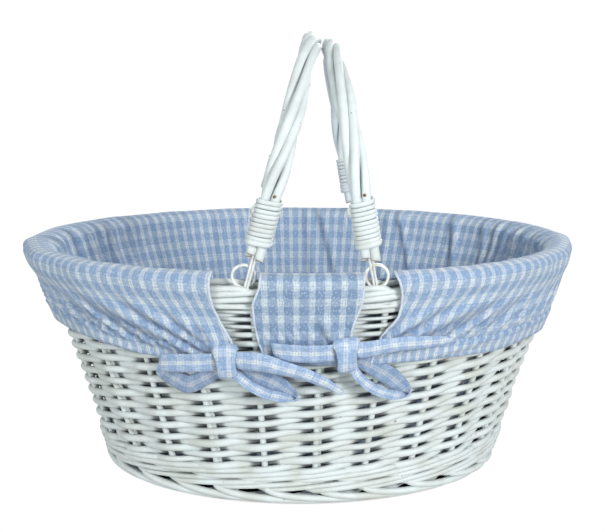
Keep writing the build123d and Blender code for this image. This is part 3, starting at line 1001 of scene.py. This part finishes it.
def cuffs():
    """Two end cuffs and two flaps, each with bound edges where it is notched."""
    made = {}
    for side, way, start, back, width, middle in (
            ("left", -1, 2 * math.pi, "left_cuff_back", 0.52, GIRTH / 2),
            ("right", 1, 0.0, "right_cuff", 0.51, 0.0)):
        knots = [(knot_angle(side, "front") + start, way, 1.0),
                 (knot_angle(side, "back"), -way, 1.0)]
        made[side] = rim_cloth(f"{side}_cuff_cloth", f"{side}_cuff",
                               cut_edge(f"{side}_cuff", 1, start), cut_edge(back, -1), cuff_hem,
                               CUFF_FOLDS, CLOTH, knots, width, (middle, 0.24))
    # The front flap gets the darker painted-shade copy of the gingham.
    for end, sign, cloth in (("front", 1, FLAP_PAINTED_SHADE_CLOTH), ("back", -1, CLOTH)):
        knots = [(knot_angle("left", end), sign, 0.8), (knot_angle("right", end), -sign, 0.8)]
        made[end] = rim_cloth(f"{end}_flap_cloth", f"{end}_flap", cut_edge("flap_left", sign),
                              cut_edge("flap_right", sign), flap_hem, FLAP_FOLDS, cloth,
                              knots, 0.075)
    for key, width in (("left", 0.53), ("right", 0.51), ("front", 0.072), ("back", 0.072)):
        ob, verts = made[key]
        edge_binding(f"{key}_bound_edges", [verts[:, 0], verts[:, -1]])


liner_floor()
liner_wall()
cuffs()


# ---- bows
def on_cuff(x, z, out, end):
    """World place from millimetres along the front, height and distance off the wall line."""
    x, z, out = np.asarray(x) * MM, np.asarray(z) * MM, np.asarray(out) * MM
    a, b = half_axes(z, -out)
    y = -b * np.sqrt(1 - (x / a) ** 2)
    return stacked(x, y if end == "front" else -y, z)


TIE_CUP = 0.8
TIE_THICK = 1.5


def ribbon(build, control, widths, end, inner_shade):
    """A flat tie. control rows are x, z, out and the width's direction as x, z, out, in mm."""
    curve = spline(control, 10)
    widths = np.interp(np.linspace(0, 1, len(curve)), np.linspace(0, 1, len(widths)), widths)
    across = unit(curve[:, 3:6])
    normal = unit(np.cross(unit(np.gradient(curve[:, :3], axis=0)), across))
    section = np.linspace(-1, 1, 7)
    rows = []
    for side in (1, -1):
        for s in section * side:
            bulge = TIE_CUP * (1 - s**2) + side * TIE_THICK / 2 * (1 - 0.55 * abs(s) ** 4)
            rows.append(curve[:, :3] + across * (s * widths / 2)[:, None] + normal * bulge)
    local = np.stack(rows, axis=1)
    verts = on_cuff(local[..., 0], local[..., 1], local[..., 2], end)
    n, sides = verts.shape[:2]
    offsets = np.concatenate([section, -section])[None] * widths[:, None] / 2
    uvs = stacked(offsets + 4.6, run_along(curve[:, :3])[:, None]) * MM
    uvs[..., 1] += build.count * 0.0013
    # Painted shade over the second half of each loop, its inner side tucked under the first.
    shade = inner_shade * smooth(np.linspace(0, 1, n), 0.5, 0.62)
    build.add(verts, skin(n, sides, flip=end == "back"), uvs, hollow=np.repeat(shade, sides))


# Each row is X, Z and distance off the wall, then the direction of the tie's width.
BOWS = {
    ("left", "loops"): [
        ([(-56, 123.5, 6, 0, 1, 0), (-68, 123, 10, 0, 1, 0.1), (-84, 121.5, 11, 0, 1, 0.1),
          (-97, 119.5, 9.5, 0, 1, 0.1), (-104, 117, 6, 0.25, 1, 0.1),
          (-101, 111, 3.2, 0.6, 1, 0.1), (-91, 104.5, 2.6, 0.55, 1, 0),
          (-82, 101.5, 2.6, 0.1, 1, 0), (-72, 107, 2.8, -0.5, 1, 0), (-57, 117, 4.5, -0.3, 1, 0)],
         [13, 15, 15.2, 15, 15, 15, 15, 15, 13, 10]),
        ([(-49, 119, 7, -0.4, -0.5, 0.7), (-40, 109.5, 10, -0.45, -0.45, 0.8),
          (-26, 101.5, 11, -0.35, -0.5, 0.9), (-11, 97, 9, -0.25, -0.4, 1),
          (-2.5, 95, 6, -0.2, 0.3, 1), (-6.5, 98, 3.8, 0.5, 0.8, 0.2),
          (-18, 106.5, 3.4, 0.5, 0.9, 0), (-33, 113.5, 3.8, 0.3, 1, 0), (-48, 121, 5, 0.2, 1, 0)],
         [8, 9, 10, 10, 8, 11, 16, 14.5, 9]),
    ],
    ("left", "tail"): [
        ([(-49, 126, 8, 0, 1, 0), (-38, 126.5, 11.5, 0, 1, 0), (-27, 126, 12, 0.1, 1, 0),
          (-15, 122.5, 12, 0.3, 1, 0), (3, 117, 11.5, 0.35, 1, 0.1), (19, 108.6, 10, 0.5, 1, 0.1),
          (30.5, 100, 8, 0.6, 1, 0)],
         [12, 14.5, 14.5, 12, 10, 8, 3.5]),
    ],
    ("right", "loops"): [
        ([(28, 132.5, 7, 0, 1, 0), (16, 132.8, 11, 0, 1, 0.1), (2, 133, 12, 0, 1, 0.1),
          (-11, 133.6, 11, -0.1, 1, 0.1), (-19.5, 133.5, 7.5, -0.2, 1, 0.1),
          (-14, 130.5, 4, -0.1, 1, 0.1), (0, 129, 3.6, 0, 1, 0), (14, 128, 4, 0, 1, 0),
          (27, 127.5, 5, 0, 1, 0)],
         [13, 13.6, 13.6, 13.8, 13.6, 13.6, 13.6, 13.4, 12]),
        ([(37, 121, 7, -0.5, -0.3, 0.7), (44, 111, 10, -0.6, -0.3, 0.8),
          (56, 101.5, 10.5, -0.5, -0.4, 0.9), (70, 96, 9, -0.3, -0.4, 1),
          (79.5, 94.5, 6, -0.2, 0.3, 1), (76, 99, 3.8, 0.8, 0.6, 0.2),
          (65, 110, 3.4, 0.8, 0.75, 0), (52, 119, 3.8, 0.6, 1, 0), (38, 127, 5, 0.3, 1, 0)],
         [8, 9, 10, 10, 8, 11, 15, 13, 9]),
    ],
    ("right", "tail"): [
        ([(36, 134, 8, 0, 1, 0), (46, 135, 11.5, 0, 1, 0), (58, 137, 12, -0.1, 1, 0),
          (72, 138, 11, -0.05, 1, 0), (88, 137, 8.5, 0, 1, 0), (102, 135.8, 5.6, 0.05, 1, 0),
          (113, 134.8, 2.6, 0.1, 1, 0)],
         [12, 12.5, 12, 11.2, 10, 8, 3.5]),
    ],
}

# Middle of each knot along X and Z, and how far it leans.
KNOT_MIDDLE = {"left": (-53, 124, -0.1), "right": (33, 130, -0.06)}


def knot_shape(build, side, end):
    """The tie wrapped once round the middle: an upright band, pinched a little at each end."""
    x0, z0, tilt = KNOT_MIDDLE[side]
    turn = np.linspace(0, 2 * math.pi, 45)
    rows = []
    for w in np.linspace(-1, 1, 15):
        edge = math.sqrt(max(0.0, 1 - w**8 * 0.5))
        crease = 1 + 0.03 * np.sin(3 * turn + 2.5 * w) + 0.02 * np.sin(7 * turn - 4 * w)
        crease -= 0.13 * bell(w + 0.3 - 0.1 * np.sin(turn), 0.16)
        crease -= 0.08 * bell(w - 0.45 + 0.2 * np.sin(turn), 0.14)
        out = 7.0 + 6.6 * edge * np.cos(turn) * crease
        across = w * (7.9 + 1.2 * np.sin(turn) - 0.9 * np.cos(2 * turn))
        up = 13.6 * edge * np.sign(np.sin(turn)) * np.abs(np.sin(turn)) ** 0.8
        rows.append(stacked(x0 + across + up * tilt, z0 + up + across * 0.12, out))
    local = np.stack(rows, axis=0)
    verts = on_cuff(local[..., 0], local[..., 1], local[..., 2], end)
    uvs = stacked(local[..., 0], turn[None] * 10) * MM
    if end == "back":
        verts, uvs = verts[::-1], uvs[::-1]
    build.grid(verts, uvs)


def bows():
    for side in ("left", "right"):
        for end in ("front", "back"):
            for part in ("loops", "tail"):
                build = Build()
                for control, widths in BOWS[side, part]:
                    ribbon(build, control, widths, end, 0.34 if part == "loops" else 0.0)
                ob = build.object(f"{end}_{side}_{part}_cloth", "basket", [BOW_CLOTH],
                                  (f"{end}_{side}_bow_{part}",))
            build = Build()
            knot_shape(build, side, end)
            ob = build.object(f"{end}_{side}_knot_cloth", "basket", [BOW_CLOTH],
                              (f"{end}_{side}_bow_knot",))


bows()


# ---- stage, light and camera
def stage():
    """A white floor and dome that only the camera sees: they throw no light on the basket.

    An oval of the floor under the foot glows less: a painted shadow where the basket stands, seen
    through the gaps of the foot."""
    n = Nodes("white_paper")
    parts = n.new("ShaderNodeSeparateXYZ")
    n.put(n.place(), parts.inputs[0])
    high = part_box("foot_border")[1]
    shares = [n.math("DIVIDE", parts.outputs[k], high[k]) for k in (0, 1)]
    reach = n.math("ADD", *(n.math("POWER", share, 2.0) for share in shares))
    # Painted shadow: no glow inside the oval under the foot, full glow outside it.
    n.put(n.ramp(reach, 0.78, 0.91, 0.0, 1.02), n.shader.inputs["Emission Strength"])
    n.finish((0, 0, 0, 1), 1.0, Emission_Color=(1, 1, 1, 1), Specular_IOR_Level=0.0)
    turn = np.linspace(0, 2 * math.pi, 49)
    climb = np.linspace(0, math.pi / 2, 13)
    radius = np.concatenate([[0.001], np.linspace(0.5, 3.5, 6), 4 * np.cos(climb)])[:, None]
    height = np.concatenate([np.zeros(7), 4 * np.sin(climb)])[:, None]
    verts = stacked(radius * np.cos(turn), radius * np.sin(turn), height - 0.2 * MM)
    build = Build()
    build.grid(verts, verts[..., :2].copy())
    ob = build.mesh("studio", [n.material])
    ob.visible_diffuse = ob.visible_glossy = ob.visible_shadow = False


def area_light(name, place, target, size, power, color=(1, 1, 1)):
    data = bpy.data.lights.new(name, "AREA")
    data.shape = "DISK"
    data.size = size
    data.energy = power
    data.color = color
    ob = put_in_scene(name, data)
    ob.location = place
    aim = Vector(target) - Vector(place)
    ob.rotation_euler = aim.to_track_quat("-Z", "Y").to_euler()


def lights():
    world = bpy.data.worlds.new("studio")
    world.use_nodes = True
    background = world.node_tree.nodes["Background"]
    background.inputs["Color"].default_value = (0.96, 1, 1, 1)
    background.inputs["Strength"].default_value = 0.50
    bpy.context.scene.world = world
    area_light("key", (0.95, -1.5, 0.75), (0, 0, 0.1), 0.4, 20, (0.98, 1, 1))
    area_light("fill", (-1.2, -1.35, 0.3), (0, 0, 0.08), 0.8, 9, (0.96, 1, 1))
    area_light("top", (0.3, 0.1, 1.7), (0, 0, 0.15), 1.0, 3)
    area_light("back", (0.3, 1.7, 0.35), (0, 0, 0.1), 1.0, 20)


def camera():
    """Straight on to the front from just under the crowns of the handles, tilted down a little."""
    pitch = math.radians(11.51)
    data = bpy.data.cameras.new("camera")
    data.sensor_width = 36
    data.lens = 65.05
    ob = put_in_scene("camera", data)
    ob.location = (0.00164, -0.9027, 0.3471)
    ob.rotation_euler = (math.pi / 2 - pitch, 0, 0)
    bpy.context.scene.camera = ob
    bpy.context.scene.view_settings.view_transform = "Standard"


stage()
lights()
camera()
